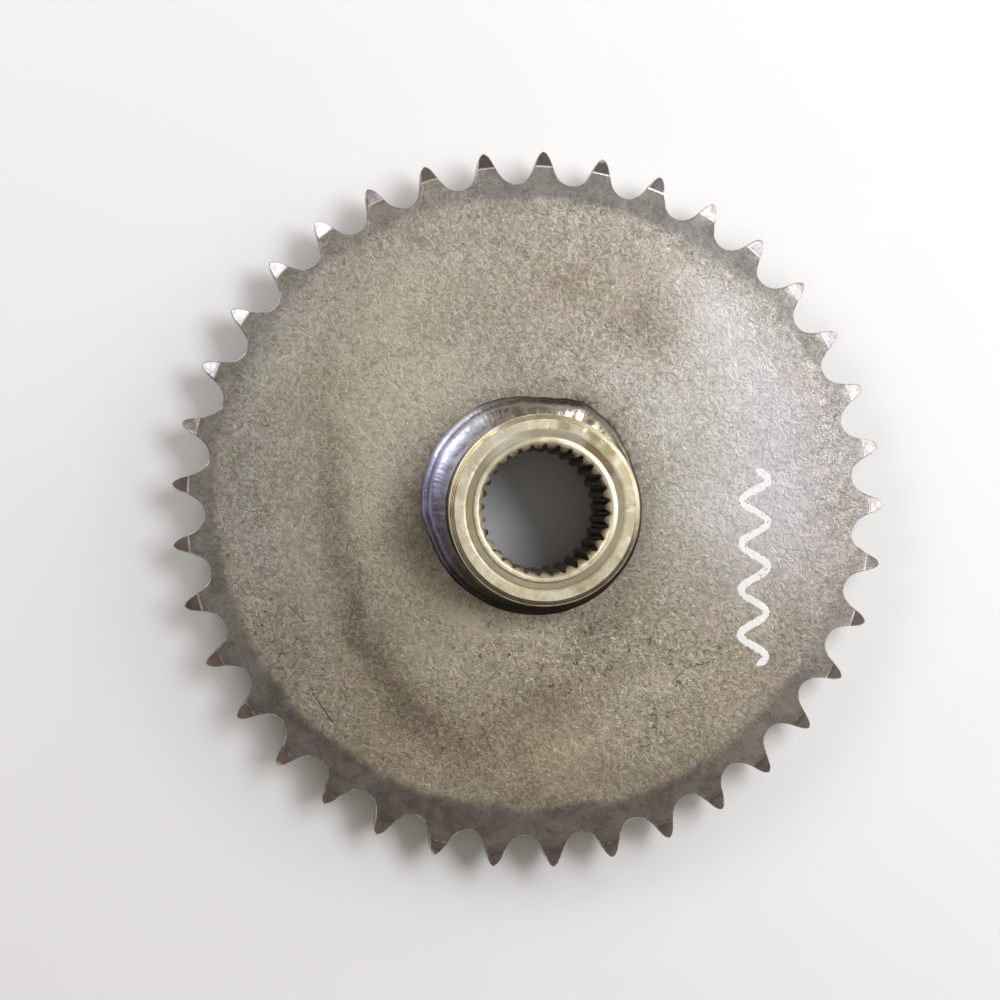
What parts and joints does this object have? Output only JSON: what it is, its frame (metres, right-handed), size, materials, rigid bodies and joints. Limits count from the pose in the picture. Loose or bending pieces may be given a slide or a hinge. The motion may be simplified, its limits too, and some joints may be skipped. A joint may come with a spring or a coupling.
{
  "type": "roller chain sprocket",
  "caption": "Single-strand roller-chain drive sprocket: thick toothed steel plate fillet-welded on both faces to an internally splined hub that stands out further on one side.",
  "frame": {"origin": "on the hub axis, in the plane of the rear end face of the hub, which the part rests on", "axes": "+Z along the hub axis, from the short hub end towards the long one; +X through the centre line of the first tooth, less 0.84 degrees"},
  "size_m": [0.3917, 0.3918, 0.0795],
  "materials": {
    "plate_scale": "hot-rolled, sandy mill scale, dull; smoother blue-grey hardened band along the teeth",
    "hub_machined": "turned bare steel, warm and slightly oily",
    "weld_metal": "as-welded, heat-tinted violet to blue-grey"
  },
  "bodies": {
    "root": {"sprocket_plate": "plate_scale", "splined_hub": "hub_machined", "front_weld_first_pass": "weld_metal", "front_weld_second_pass": "weld_metal", "rear_weld_bead": "weld_metal"}
  },
  "joints": []
}
